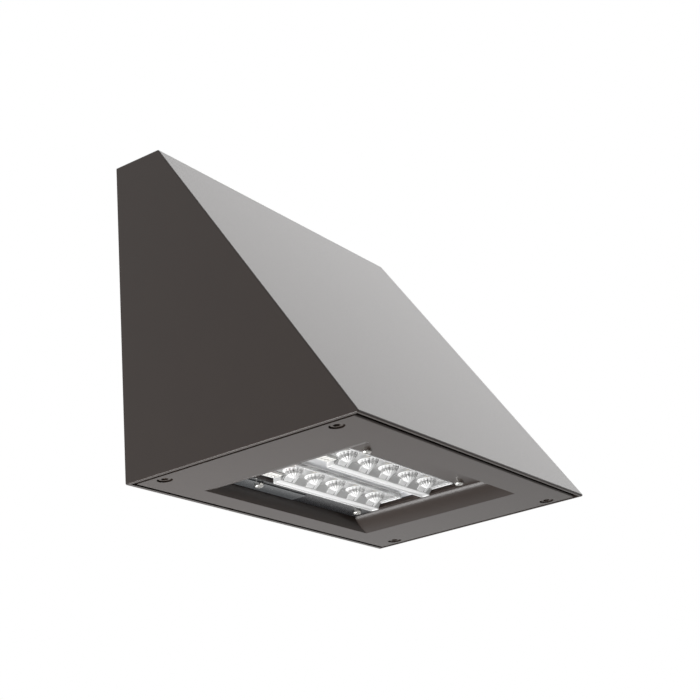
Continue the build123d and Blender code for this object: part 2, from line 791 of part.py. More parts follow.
def trim_plate():
    """Thin dark plate on the rear ledge, behind the lenses."""
    plate = block((-foot_half + trim_edge, foot_half - trim_edge), (window_back, foot_back - trim_edge),
                  (ledge_face - trim_thickness, ledge_face))
    for x, y in rear_module_screws:
        plate -= rod_z(x, y, module_thread_d + 2 * clear, ledge_face - trim_thickness - past, ledge_face + past)
    return plate


def wire_cover():
    """Raised cover on the left half of the trim plate."""
    foot = ledge_face - 2 * trim_thickness
    cover = block((-foot_half + cover_edge, -cover_end), (window_back + cover_front, foot_back - cover_edge),
                  (foot, foot + trim_thickness))
    x, y = rear_module_screws[0]
    return cover - rod_z(x, y, module_thread_d + 2 * clear, foot - past, ledge_face)


# ---- wall plate ------------------------------------------------------------------------------
def wall_plate():
    """Flange inside the housing, with a pad that comes through the window to the wall."""
    half = plate_flange / 2
    inner = plate_face - wall_plate_thickness
    plate = block((-half, half), (inner, plate_face), (mount_height - half, mount_height + half))
    plate = fillet(plate.edges().filter_by(Axis.Y), plate_corner)
    pad = back_window / 2 - pad_clearance
    plate += block((-pad, pad), (inner, 0), (mount_height - pad, mount_height + pad))
    # the pad is pressed out of sheet, so it is hollow from inside
    hollow = pad - wall_plate_thickness
    plate -= block((-hollow, hollow), (inner - past, -wall_plate_thickness),
                   (mount_height - hollow, mount_height + hollow))
    for sign in (-1, 1):
        plate -= rod_y(sign * box_screw_spacing / 2, mount_height, box_screw_hole_d, inner - past, past)
        for up in (-1, 1):
            plate -= rod_y(sign * lag_spacing / 2, mount_height + up * lag_spacing / 2, lag_hole_d,
                           inner - past, past)
    plate -= rod_y(0, mount_height - wire_hole_below, wire_hole_d, inner - past, past)
    for x, z in plate_screw_places():
        plate -= rod_y(x, z, plate_screw_d + 2 * fit, inner - past, past)
    return plate


def plate_gasket():
    half = plate_flange / 2
    ring = block((-half, half), (plate_face, -wall), (mount_height - half, mount_height + half))
    hole = back_window / 2
    ring -= block((-hole, hole), (plate_face - past, 0), (mount_height - hole, mount_height + hole))
    for x, z in plate_screw_places():
        ring -= rod_y(x, z, plate_screw_d + 2 * clear, plate_face - past, 0)
    return ring


def plate_screws():
    screws = []
    seat = plate_face - wall_plate_thickness
    for x, z in plate_screw_places():
        head = Pos(x, seat, z) * Rot(90, 0, 0) * pan_head(*plate_head)
        screws.append(head + rod_y(x, z, plate_screw_d, seat, -thread_end))
    return Compound(screws)


def wire_bushing():
    """Rubber bushing snapped into the wire hole."""
    z = mount_height - wire_hole_below
    inner = -wall_plate_thickness
    sleeve = rod_y(0, z, wire_hole_d - 2 * fit, inner, 0)
    lip = rod_y(0, z, wire_hole_d + 2 * bushing_lip, inner - bushing_lip, inner)
    return sleeve + lip - rod_y(0, z, bushing_bore_d, inner - bushing_lip - past, past)


# ---- gear above the deck ---------------------------------------------------------------------
gear_face = -wall - gear_boss_height
tray_front = gear_face - tray_thickness


def gear_screw(x, z, seat):
    head = Pos(x, seat, z) * Rot(90, 0, 0) * pan_head(*gear_head)
    return head + rod_y(x, z, gear_screw_d, seat, -wall - thread_end)


def driver_tray():
    """Sheet tray on four bosses, with a folded stiffening edge above and below."""
    low, high = tray_above_rim - tray_height / 2, tray_above_rim + tray_height / 2
    half = tray_width / 2
    tray = block((-half, half), (tray_front, gear_face), (low, high))
    for z0, z1 in ((low, low + tray_thickness), (high - tray_thickness, high)):
        tray += block((-half + tray_fold_end, half - tray_fold_end), (tray_front - tray_fold, gear_face),
                      (z0, z1))
    for x, z in gear_bosses()[0]:
        tray -= rod_y(x, z, gear_screw_d + 2 * clear, tray_front - past, gear_face + past)
    for x in lug_places():
        tray -= rod_y(x, tray_above_rim, gear_screw_d + 2 * fit, tray_front - past, gear_face + past)
    return tray


def lug_places():
    return [sign * (driver_length / 2 + lug_length / 2) for sign in (-1, 1)]


def driver_case():
    """Extruded case of the LED driver with a mounting lug at each end."""
    half = driver_length / 2
    low, high = tray_above_rim - driver_height / 2, tray_above_rim + driver_height / 2
    low, high = low + tray_thickness + clear, high - tray_thickness - clear
    back = tray_front
    case = block((-half, half), (back - driver_depth, back), (low, high))
    case = fillet(case.edges().filter_by(Axis.X), driver_round)
    case -= block((-half - past, half + past), (back - driver_depth + driver_wall, back - driver_wall),
                  (low + driver_wall, high - driver_wall))
    for x in lug_places():
        inner_end, outer_end = sorted((x - lug_length / 2, x + lug_length / 2), key=abs)
        low_x, high_x = sorted((inner_end - past * inner_end / abs(inner_end), outer_end))
        lug = block((low_x, high_x), (back - driver_wall, back),
                    (tray_above_rim - lug_width / 2, tray_above_rim + lug_width / 2))
        case += lug - rod_y(x, tray_above_rim, gear_screw_d + 2 * clear, back - driver_wall - past, back + past)
    return case


def driver_inside():
    """Limits of the hollow in the driver case."""
    low = tray_above_rim - driver_height / 2 + tray_thickness + clear + driver_wall
    high = tray_above_rim + driver_height / 2 - tray_thickness - clear - driver_wall
    return tray_front - driver_depth + driver_wall, tray_front - driver_wall, low, high


def driver_potting():
    """Potted circuit block that fills the case."""
    front, back, low, high = driver_inside()
    half = driver_length / 2 - cap_thickness
    return block((-half, half), (front + fit, back - fit), (low + fit, high - fit))


def driver_caps():
    """End caps pressed into the case, one wire port each."""
    front, back, low, high = driver_inside()
    caps = []
    for sign in (-1, 1):
        x0, x1 = sorted((sign * driver_length / 2, sign * (driver_length / 2 - cap_thickness)))
        caps.append(block((x0, x1), (front + fit, back - fit), (low + fit, high - fit)))
    return Compound(caps)


def strap_hole(x, z):
    return rod_y(x, z, gear_screw_d + 2 * clear, gear_face - gear_plate_thickness - past, gear_face + past)


def surge_protector():
    sx, sy, sz = surge_size
    body = block((gear_side - sx / 2, gear_side + sx / 2), (gear_face - sy, gear_face),
                 (gear_above_rim - sz / 2, gear_above_rim + sz / 2))
    body = fillet(body.edges().filter_by(Axis.Y), surge_round)
    body += block((gear_side - strap_width / 2, gear_side + strap_width / 2),
                  (gear_face - gear_plate_thickness, gear_face),
                  (gear_above_rim - sz / 2 - strap_length, gear_above_rim + sz / 2 + strap_length))
    for x, z in gear_bosses()[1]:
        body -= strap_hole(x, z)
    return body


def terminal_poles():
    step = terminal_size[0] / pole_count
    return [-gear_side + (i - (pole_count - 1) / 2) * step for i in range(pole_count)]


def terminal_block():
    tx, ty, tz = terminal_size
    body = block((-gear_side - tx / 2, -gear_side + tx / 2), (gear_face - ty, gear_face),
                 (gear_above_rim - tz / 2, gear_above_rim + tz / 2))
    body += block((-gear_side - tx / 2 - strap_length, -gear_side + tx / 2 + strap_length),
                  (gear_face - gear_plate_thickness, gear_face),
                  (gear_above_rim - strap_width / 2, gear_above_rim + strap_width / 2))
    for x in terminal_poles():
        body -= rod_y(x, gear_above_rim, pole_d, gear_face - ty - past, gear_face - ty + pole_depth)
    for x, z in gear_bosses()[2]:
        body -= strap_hole(x, z)
    return body


def terminal_screws():
    seat = gear_face - terminal_size[1] + pole_depth
    return Compound([rod_y(x, gear_above_rim, pole_screw_d, seat - pole_screw_length, seat)
                     for x in terminal_poles()])


def gear_screws():
    """Screws of the tray, the driver, the surge protector and the terminal block."""
    tray, surge, terminal = gear_bosses()
    screws = [gear_screw(x, z, tray_front) for x, z in tray]
    screws += [gear_screw(x, z, gear_face - gear_plate_thickness) for x, z in surge + terminal]
    return Compound(screws)


def driver_screws():
    screws = []
    seat = tray_front - driver_wall
    for x in lug_places():
        head = Pos(x, seat, tray_above_rim) * Rot(90, 0, 0) * pan_head(*gear_head)
        screws.append(head + rod_y(x, tray_above_rim, gear_screw_d, seat, gear_face))
    return Compound(screws)


def ground_screw():
    x, z = ground_place()
    return gear_screw(x, z, gear_face - ground_lug_thickness)


def ground_lug():
    """Ring terminal under the ground screw."""
    x, z = ground_place()
    front = gear_face - ground_lug_thickness
    tail_width, tail_length = ground_tail
    ring = rod_y(x, z, ground_ring_d, front, gear_face)
    ring += block((x - tail_width / 2, x + tail_width / 2), (front, gear_face), (z, z + tail_length))
    return ring - rod_y(x, z, gear_screw_d + clear, front - past, gear_face + past)


def ground_lead():
    x, z = ground_place()
    end = z + ground_tail[1]
    start = z + gear_head[0] / 2 + clear
    y = gear_face - ground_lug_thickness - wire_d / 2
    foot = gear_above_rim - terminal_size[2] / 2
    pole = terminal_poles()[0]
    port = gear_face - terminal_size[1] / 2
    rise = (end + foot) / 2
    points = [(x, y, start), (x, y, rise), (pole, port, rise), (pole, port, foot)]
    return wire(points, ground_bend, wire_d)


def driver_input_leads():
    """Two wires from the top of the terminal block to the driver's left end."""
    top = gear_above_rim + terminal_size[2] / 2
    wires = []
    end_x = -driver_length / 2
    for i, pole in enumerate(terminal_poles()[1:]):
        port = gear_face - terminal_size[1] / 2 - port_apart
        level = tray_above_rim - driver_port_low + driver_ports_apart * i
        y = tray_front - driver_depth / 2
        out = end_x - input_out - input_apart * i
        bend = top + input_rise + input_step * i
        points = [(pole, port, top), (pole, port, bend), (out, y, bend + input_run),
                  (out, y, level), (end_x, y, level)]
        wires.append(wire(points, wire_bend, wire_d))
    return Compound(wires)


def surge_leads():
    """Two wires from the surge protector, under the tray, to the top of the terminal block."""
    y = gear_face - terminal_size[1] / 2 + port_apart
    start = gear_above_rim + surge_size[2] / 2
    end = gear_above_rim + terminal_size[2] / 2
    under_tray = tray_above_rim - tray_height / 2 - surge_under_tray
    wires = []
    for i, pole in enumerate(terminal_poles()[1:]):
        x = gear_side + surge_port - surge_ports_apart * i
        level = under_tray - surge_levels_apart * (1 - i)
        points = [(x, y, start), (x, y, level), (pole, y, level), (pole, y, end)]
        wires.append(wire(points, wire_bend, wire_d))
    return Compound(wires)


def module_lead():
    """Jacketed lead from the driver's right end down to the module socket."""
    start = (driver_length / 2, tray_front - driver_depth / 2, tray_above_rim)
    end = (lead_x, valley_y, sink_top + socket_size[2] + collar_height)

    def away(place, offset):
        return tuple(p + o for p, o in zip(place, offset))

    points = [start, *(away(start, offset) for offset in lead_from_driver),
              *(away(end, offset) for offset in lead_to_socket), away(end, (0, 0, clear))]
    return wire(points, lead_bend, lead_d)


# ---- all pieces ------------------------------------------------------------------------------
if __name__ == "__main__":
    keep("housing", housing())
    keep("wall_plate", wall_plate())
    keep("wall_plate_gasket", plate_gasket())
    keep("wall_plate_screws", plate_screws())
    keep("wire_bushing", wire_bushing())
    keep("door_frame", door_frame())
    keep("door_gasket", door_gasket())
    for side, sign in (("left", -1), ("right", 1)):
        keep(f"captive_screw_{side}", captive_screw(sign))
        keep(f"hinge_leaf_{side}", hinge_leaf(sign))
        keep(f"hinge_pin_{side}", hinge_pin(sign))
    keep("hinge_pin_clips", pin_clips())
    keep("rear_door_screws", rear_screws())
    keep("heat_sink", heat_sink())
    keep("module_gasket", module_gasket())
    keep("module_screws", module_screw_group())
    keep("trim_plate", trim_plate())
    keep("wire_cover", wire_cover())
    for row in rows:
        keep(f"lens_strip_{row}", lens_strip(row))
        keep(f"lens_seal_{row}", lens_seal(row))
        keep(f"led_board_{row}", led_board(row))
        keep(f"led_chips_{row}", led_chips(row))
        keep(f"board_connector_{row}", board_connector(row))
        keep(f"board_leads_{row}", board_leads(row))
    keep("connector_contacts", connector_contacts())
    keep("module_socket", module_socket())
    keep("driver_tray", driver_tray())
    keep("driver_case", driver_case())
    keep("driver_potting", driver_potting())
    keep("driver_end_caps", driver_caps())
    keep("driver_screws", driver_screws())
    keep("gear_screws", gear_screws())
    keep("surge_protector", surge_protector())
    keep("terminal_block", terminal_block())
    keep("terminal_screws", terminal_screws())
    keep("ground_screw", ground_screw())
    keep("ground_lug", ground_lug())
    keep("ground_lead", ground_lead())
    keep("driver_input_leads", driver_input_leads())
    keep("surge_leads", surge_leads())
    keep("module_lead", module_lead())
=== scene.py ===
from math import cos, pi, radians, sin

import bpy
import numpy as np
from mathutils import Matrix, Vector


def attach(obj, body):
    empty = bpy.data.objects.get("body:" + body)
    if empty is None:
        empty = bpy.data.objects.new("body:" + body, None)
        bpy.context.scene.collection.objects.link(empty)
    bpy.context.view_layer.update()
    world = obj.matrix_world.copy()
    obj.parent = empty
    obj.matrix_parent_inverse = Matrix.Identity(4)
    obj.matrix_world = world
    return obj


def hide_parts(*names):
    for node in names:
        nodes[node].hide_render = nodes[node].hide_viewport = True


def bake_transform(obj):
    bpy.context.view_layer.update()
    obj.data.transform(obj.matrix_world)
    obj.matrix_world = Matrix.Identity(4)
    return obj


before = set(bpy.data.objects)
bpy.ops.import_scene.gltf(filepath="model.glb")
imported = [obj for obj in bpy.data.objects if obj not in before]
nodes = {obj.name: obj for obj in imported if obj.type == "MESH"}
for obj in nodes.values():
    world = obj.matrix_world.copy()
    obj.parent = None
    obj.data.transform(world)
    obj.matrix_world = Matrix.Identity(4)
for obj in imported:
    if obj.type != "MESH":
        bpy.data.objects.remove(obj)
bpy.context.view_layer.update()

# Wedge-shaped wall pack light, seen from its front left and below. Metres, in the CAD's frame:
# X to the right, -Y away from the wall, Z up, and the origin at the wall plate's middle.
# Sizes of the pieces are in mm, with heights from the rim, and MM turns them to metres. The lamps,
# the floor and the camera are placed in metres.
MM = 0.001
RIM = -150.0                # housing's bottom rim, from the origin

# light engine, as in the CAD
LED_XS = [-72.3, -38.3, -4.3, 29.7, 63.7]
ROWS = {"back": -86.3, "front": -145.8}
LENS_LEFT, LENS_RIGHT = -84.5, 95.6
LENS_AHEAD = 10.8           # strip's front edge, ahead of its LED row
LENS_FOOT, LENS_TOP = 16.0, 19.0
RIDGE_START, RIDGE_BACK = 17.0, 26.3    # ridge's front and back, behind the LED row
RIDGE_LEFT = -69.0
RIDGE_FOOT = 10.0
RIDGE_LEAN = 5.0            # its front face leans forward by this much
CORNER_CUT = 4.0            # plate's connector corner is cut out from this far ahead of the ridge

SMALLEST_R = 0.02           # in place of a point, where a shape closes to nothing

# inputs and output of a mix node, which keeps its own set for each type of data
MIX_SOCKETS = {"FLOAT": (2, 3, 0), "RGBA": (6, 7, 2)}


# ---- meshes ----------------------------------------------------------------------------------
def grid_faces(lines, points, closed_lines=False, closed_points=True):
    """Quads between neighbouring lines of a grid, each line holding the same count of points.
    A closed way joins its last to its first."""
    line = np.arange(lines if closed_lines else lines - 1)
    point = np.arange(points if closed_points else points - 1)
    a, b = np.meshgrid(line, point, indexing="ij")
    a_next, b_next = (a + 1) % lines, (b + 1) % points
    corners = [a * points + b, a * points + b_next, a_next * points + b_next, a_next * points + b]
    return np.stack(corners, -1).reshape(-1, 4)


def round_rectangle(low, high, corner, inset, z, steps=4):
    """Closed loop round a rectangle: each corner is a quarter circle of the corner's radius less
    the inset, about a centre that lies one corner radius inside both sides."""
    turn = np.linspace(0, pi / 2, steps + 1)
    radius = max(corner - inset, SMALLEST_R)
    loop = []
    for quarter in range(4):
        right, up = quarter in (0, 3), quarter in (0, 1)
        centre_x = high[0] - inset - radius if right else low[0] + inset + radius
        centre_y = high[1] - inset - radius if up else low[1] + inset + radius
        angle = turn + quarter * pi / 2
        loop.append(np.stack([centre_x + radius * np.cos(angle), centre_y + radius * np.sin(angle),
                              np.full(angle.shape, z)], -1))
    return np.concatenate(loop)


def slab(low, high, corner, edge, steps=3):
    """Flat block with round corners and rounded upper and lower edges: loops that draw in by
    edge - edge sin(a) while they rise by edge - edge cos(a), closed by a flat face at each end."""
    turn = np.linspace(0, pi / 2, steps + 1)
    drawn_in = edge * (1 - np.sin(turn))
    rise = edge * (1 - np.cos(turn))
    levels = [(d, low[2] + r) for d, r in zip(drawn_in, rise)]
    levels += [(d, high[2] - r) for d, r in zip(drawn_in[::-1], rise[::-1])]
    loops = [round_rectangle(low, high, corner, d, z) for d, z in levels]
    count = len(loops[0])
    sides = grid_faces(len(loops), count).tolist()
    last = (len(loops) - 1) * count
    ends = [list(range(count))[::-1], [last + i for i in range(count)]]
    return np.concatenate(loops), sides + ends


def join(parts):
    """One list of points and faces out of several."""
    points, faces, start = [], [], 0
    for part_points, part_faces in parts:
        points.append(part_points)
        faces += [[start + i for i in face] for face in part_faces]
        start += len(part_points)
    return np.concatenate(points), faces


def piece(name, part, material, body, smooth=35.0, attribute=None):
    """Makes an object from points in mm above the rim, shades it smooth below the given angle and
    lets it ride."""
    points, faces = part
    mesh = bpy.data.meshes.new(name)
    mesh.from_pydata(((np.asarray(points) + (0, 0, RIM)) * MM).tolist(), [], faces)
    mesh.validate()
    if attribute:
        layer = mesh.attributes.new(attribute[0], "FLOAT", "POINT")
        layer.data.foreach_set("value", np.asarray(attribute[1], dtype=np.float32))
    mesh.materials.append(material)
    shown = bpy.data.objects.new(name, mesh)
    bpy.context.scene.collection.objects.link(shown)
    mesh.shade_smooth()
    mesh.set_sharp_from_angle(angle=radians(smooth))
    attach(shown, body)
    return shown


# ---- materials -------------------------------------------------------------------------------
def linear(hex_colour):
    """Linear RGBA of an sRGB hex colour."""
    values = [int(hex_colour[i:i + 2], 16) / 255 for i in (1, 3, 5)]
    return [v / 12.92 if v <= 0.04045 else ((v + 0.055) / 1.055) ** 2.4 for v in values] + [1.0]


def add(tree, kind, inputs=None, **settings):
    """Adds a node with its settings, and sets or links each named input."""
    node = tree.nodes.new(kind)
    for name, value in settings.items():
        setattr(node, name, value)
    for name, value in (inputs or {}).items():
        if isinstance(value, bpy.types.NodeSocket):
            tree.links.new(value, node.inputs[name])
        else:
            node.inputs[name].default_value = value
    return node


def new_material(name):
    """Material with an empty Principled surface; gives the material, its tree and the shader."""
    material = bpy.data.materials.new(name)
    material.use_nodes = True
    tree = material.node_tree
    tree.nodes.clear()
    shader = add(tree, "ShaderNodeBsdfPrincipled")
    add(tree, "ShaderNodeOutputMaterial", {"Surface": shader.outputs["BSDF"]})
    return material, tree, shader


def noise(tree, size_mm, detail=2.0, stretch=(1.0, 1.0, 1.0)):
    """Noise whose blotches are about size_mm across, longer along an axis with a large stretch."""
    place = add(tree, "ShaderNodeTexCoord")
    scale = [1 / (size_mm * MM * s) for s in stretch]
    mapping = add(tree, "ShaderNodeMapping", {"Vector": place.outputs["Object"], "Scale": scale})
    return add(tree, "ShaderNodeTexNoise", {"Vector": mapping.outputs[0], "Scale": 1.0,
                                            "Detail": detail}).outputs["Fac"]


def between(tree, factor, low, high):
    """Number that runs from low to high where the factor runs from 0.3 to 0.7."""
    return add(tree, "ShaderNodeMapRange", {"Value": factor, "From Min": 0.3, "From Max": 0.7,
                                            "To Min": low, "To Max": high}).outputs[0]


def mixed(tree, factor, first, second, data_type="RGBA"):
    """Runs from the first colour or number to the second; each is a value or a socket."""
    input_a, input_b, result = MIX_SOCKETS[data_type]
    return add(tree, "ShaderNodeMix", {0: factor, input_a: first, input_b: second},
               data_type=data_type).outputs[result]


def tinted(tree, factor, first, second):
    """Colour that runs from the first hex to the second."""
    return mixed(tree, factor, linear(first), linear(second))


def bump(tree, height, depth_mm, normal=None):
    """Surface normal of a relief of the given depth, on top of another one."""
    inputs = {"Height": height, "Distance": depth_mm * MM}
    if normal:
        inputs["Normal"] = normal
    return add(tree, "ShaderNodeBump", inputs).outputs["Normal"]


def powder_coat(name, first, second, roughness):
    """Polyester powder coat: satin, in soft blotches about 40 mm across, with a faint orange peel
    of 2.5 mm and a finer grain of 0.5 mm. Its matt film mirrors a little less than clear resin."""
    material, tree, shader = new_material(name)
    blotch = noise(tree, 40.0, 3.0)
    peel = noise(tree, 2.5, 1.0)
    grain = noise(tree, 0.5, 2.0)
    tree.links.new(tinted(tree, blotch, first, second), shader.inputs["Base Color"])
    tree.links.new(between(tree, grain, roughness - 0.03, roughness + 0.04),
                   shader.inputs["Roughness"])
    rough = bump(tree, grain, 0.004)
    tree.links.new(bump(tree, peel, 0.012, normal=rough), shader.inputs["Normal"])
    shader.inputs["IOR"].default_value = 1.42
    return material


def plated_metal(name, first, second, roughness, grain_mm, stretch=(1.0, 1.0, 1.0),
                 depth_mm=0.006):
    """Bare or plated metal: two near shades in a grain that may run along one axis."""
    material, tree, shader = new_material(name)
    grain = noise(tree, grain_mm, 3.0, stretch)
    tree.links.new(tinted(tree, grain, first, second), shader.inputs["Base Color"])
    tree.links.new(between(tree, grain, roughness * 0.8, roughness * 1.2),
                   shader.inputs["Roughness"])
    tree.links.new(bump(tree, grain, depth_mm), shader.inputs["Normal"])
    shader.inputs["Metallic"].default_value = 1.0
    return material


def moulded(name, first, second, roughness, grain_mm=0.6, depth_mm=0.006, ior=1.5):
    """Moulded plastic or rubber: even colour with a faint mould texture."""
    material, tree, shader = new_material(name)
    grain = noise(tree, grain_mm, 2.0)
    blotch = noise(tree, 12.0, 2.0)
    tree.links.new(tinted(tree, blotch, first, second), shader.inputs["Base Color"])
    tree.links.new(between(tree, grain, roughness * 0.9, roughness * 1.1),
                   shader.inputs["Roughness"])
    tree.links.new(bump(tree, grain, depth_mm), shader.inputs["Normal"])
    shader.inputs["IOR"].default_value = ior
    return material


def clear_acrylic():
    """Moulded acrylic, water clear with a polished surface. It shows the white board behind it.
    Its point attribute makes the deep or curved stretches whiter and less see-through, from 0.35
    to 0.95, as painted light for the light that clear acrylic scatters there. Below zero it marks
    the walls of the cavities over the chips, which are painted near black and opaque as painted
    shade for the light that they turn away."""
    material, tree, shader = new_material("clear_acrylic")
    painted_light = add(tree, "ShaderNodeAttribute", attribute_name="painted_light").outputs["Fac"]
    flow = noise(tree, 6.0, 2.0, (4.0, 1.0, 1.0))
    # painted light: the higher the attribute, the whiter the acrylic
    white = tinted(tree, painted_light, "#d6d6d5", "#ffffff")
    # painted shade: below zero, the cavity walls turn near black and fully opaque
    dark = add(tree, "ShaderNodeMath", {0: painted_light, 1: 0.0}, operation="LESS_THAN").outputs[0]
    tree.links.new(mixed(tree, dark, white, linear("#1b1b1c")), shader.inputs["Base Color"])
    opacity = add(tree, "ShaderNodeMapRange", {"Value": painted_light, "To Min": 0.35, "To Max": 0.95})
    opaque = add(tree, "ShaderNodeMath", {0: opacity.outputs[0], 1: dark}, operation="MAXIMUM")
    tree.links.new(opaque.outputs[0], shader.inputs["Alpha"])
    tree.links.new(bump(tree, flow, 0.02), shader.inputs["Normal"])
    shader.inputs["Roughness"].default_value = 0.06
    shader.inputs["IOR"].default_value = 1.49
    return material


# dark bronze castings, and the same coat a little lighter on the screws
bronze = powder_coat("bronze_powder_coat", "#2f2622", "#332a25", 0.36)
screw_coat = powder_coat("bronze_screw_coat", "#342b26", "#3b322c", 0.34)
# hot zinc dip: dull grey with soft spangles
zinc = plated_metal("zinc_plated_sheet", "#a9acb0", "#c3c6c9", 0.36, 6.0)
# cold-formed stainless: bright and even
stainless = plated_metal("bright_stainless", "#d4d3cf", "#e2e1de", 0.26, 1.5, depth_mm=0.003)
# face-milled extrusion: fine marks along X
milled_aluminium = plated_metal("milled_aluminium", "#dcdddf", "#f1f1f2", 0.55, 1.2,
                                (30.0, 1.0, 1.0), 0.01)
# tin over brass: silvery, a little warm
tinned_brass = plated_metal("tinned_brass", "#c9c6bd", "#d9d6cd", 0.28, 2.0)
# enamelled sheet: smooth, with a soft gloss
black_enamel = moulded("black_enamel", "#1e1f21", "#232427", 0.28, 1.5, 0.002)
grey_enamel = moulded("grey_enamel", "#484a4c", "#505254", 0.25, 1.5, 0.002)
# rubber, plastics and wire jackets
silicone = moulded("black_silicone_sponge", "#18181a", "#1e1e20", 0.75, 0.8, 0.02, 1.41)
white_silicone = moulded("white_silicone", "#dededc", "#e8e8e6", 0.55, 0.8, 0.01, 1.41)
nylon = moulded("natural_nylon", "#f0efec", "#f7f6f3", 0.45)
black_plastic = moulded("black_polyamide", "#17181a", "#1d1e20", 0.5, 0.5, 0.01)
# circuit board lacquer, and the yellow cap of an LED chip
solder_mask = moulded("white_solder_mask", "#e8e9e9", "#f2f2f2", 0.32, 1.2, 0.004)
phosphor = moulded("led_phosphor", "#e4cf86", "#ecdb9c", 0.4, 0.4)
# wire insulation, the ground screw's green plating and the lenses
black_wire = moulded("black_pvc", "#151516", "#1c1c1d", 0.38)
red_wire = moulded("red_pvc", "#a3201c", "#b22a25", 0.38)
green_wire = moulded("green_pvc", "#1f6b33", "#27773c", 0.38)
green_screw_coat = plated_metal("green_passivated_steel", "#2c6b3a", "#37794a", 0.3, 2.0)
acrylic = clear_acrylic()

finishes = {
    bronze: ["housing", "door_frame"],
    screw_coat: ["captive_screw_left", "captive_screw_right", "rear_door_screws"],
    zinc: ["wall_plate", "driver_tray", "hinge_leaf_left", "hinge_leaf_right", "wall_plate_screws",
           "driver_screws", "gear_screws"],
    stainless: ["hinge_pin_left", "hinge_pin_right", "hinge_pin_clips", "module_screws"],
    milled_aluminium: ["heat_sink", "driver_case"],
    tinned_brass: ["connector_contacts", "terminal_screws", "ground_lug"],
    black_enamel: ["trim_plate"],
    grey_enamel: ["wire_cover"],
    silicone: ["wall_plate_gasket", "wire_bushing", "door_gasket", "module_gasket"],
    white_silicone: ["lens_seal_back", "lens_seal_front"],
    nylon: ["board_connector_back", "board_connector_front"],
    black_plastic: ["module_socket", "driver_end_caps", "surge_protector", "terminal_block",
                    "driver_potting", "module_lead"],
    solder_mask: ["led_board_back", "led_board_front"],
    phosphor: ["led_chips_back", "led_chips_front"],
    red_wire: ["board_leads_back", "board_leads_front"],
    black_wire: ["driver_input_leads", "surge_leads"],
    green_wire: ["ground_lead"],
    green_screw_coat: ["ground_screw"],
}
for material, names in finishes.items():
    for name in names:
        mesh = nodes[name].data
        mesh.materials.clear()
        mesh.materials.append(material)


# ---- lens strips -----------------------------------------------------------------------------
DOME_R = 9.4
DOME_DEPTH = 8.5
LOBES = 14
POINTS_PER_LOBE, RINGS = 6, 15
CLEAR_BAND = (0.30, 0.52)   # clear stretch of a dome, as shares of its depth
CAVITY_R, CAVITY_DEPTH = 1.3, 1.0
BEAD = 0.6                  # bead round a dome: its section's radius
BEAD_OUT = 0.2              # that bead lies this far outside the dome's foot, and this far down
BITE = 0.3                  # border beads sink into the plate by this much
BORDER_WIDTH, BORDER_HANG = 1.3, 0.9
INNER_BEAD = (5.2, 4.3)     # second bead at the right end, from that end
INNER_BEAD_START, INNER_BEAD_HANG = 3.0, 0.6
RIDGE_BODY_LIFT = 0.5       # ridge's body, above the ridge's foot, and as far into the plate
FACE_LIFT = 0.7             # its leaning face starts this far above the foot
FACE_ENDS = (0.5, 2.4)      # and stops short of the ridge's left and right end
END_WIDTH = 2.2             # bead down the ridge's right end
LEDGE_WIDTH, LEDGE_HEIGHT = 2.0, 1.6    # bead along the ridge's lower back edge
WINDOW = (6.3, 16.9)        # plate on the ridge's front face, from the dome's middle
WINDOW_BAR = (19.4, 22.0)
WINDOW_MARGINS = (1.2, 0.8)     # below and above the windows
WINDOW_PROUD = (0.4, 2.6)   # how far they stand out, at their lower and upper edge
SUNK = 1.0                  # backs of the face and the windows lie this deep in the ridge
# corner radius, and radius of the upper and lower edges
PLATE_ROUND, RIDGE_ROUND, RIDGE_BEAD_ROUND = (2.0, 0.5), (1.0, 0.6), (0.8, 0.5)
BORDER_ROUND, INNER_ROUND = (0.6, 0.35), (0.4, 0.25)
# values of the point attribute: the cavity's is painted shade, the others paint the acrylic whiter
# and less see-through as painted light
CAVITY, CLEAR, PAINTED_HAZY, PAINTED_MILKY, PAINTED_WHITE = -1.0, 0.12, 0.35, 0.8, 1.0


def revolved(x, y, radii, heights, segments=24):
    """Surface of revolution about a vertical axis, through the radii at the heights, closed below
    by its last ring."""
    around = np.linspace(0, 2 * pi, segments, endpoint=False)
    r, turn = np.meshgrid(radii, around, indexing="ij")
    z = np.repeat(np.asarray(heights)[:, None], segments, axis=1)
    points = np.stack([x + r * np.cos(turn), y + r * np.sin(turn), z], -1).reshape(-1, 3)
    faces = grid_faces(len(radii), segments)[:, ::-1].tolist()
    last = (len(radii) - 1) * segments
    faces.append([last + i for i in range(segments)][::-1])
    return points, faces


def ring_bead(x, y, radius, z, segments=72, steps=8):
    """Round bead, a thin torus that lies level."""
    around = np.linspace(0, 2 * pi, segments, endpoint=False)
    across = np.linspace(0, 2 * pi, steps, endpoint=False)
    turn, lean = np.meshgrid(around, across, indexing="ij")
    r = radius + BEAD * np.cos(lean)
    points = np.stack([x + r * np.cos(turn), y + r * np.sin(turn), z + BEAD * np.sin(lean)], -1)
    return points.reshape(-1, 3), grid_faces(segments, steps, closed_lines=True).tolist()


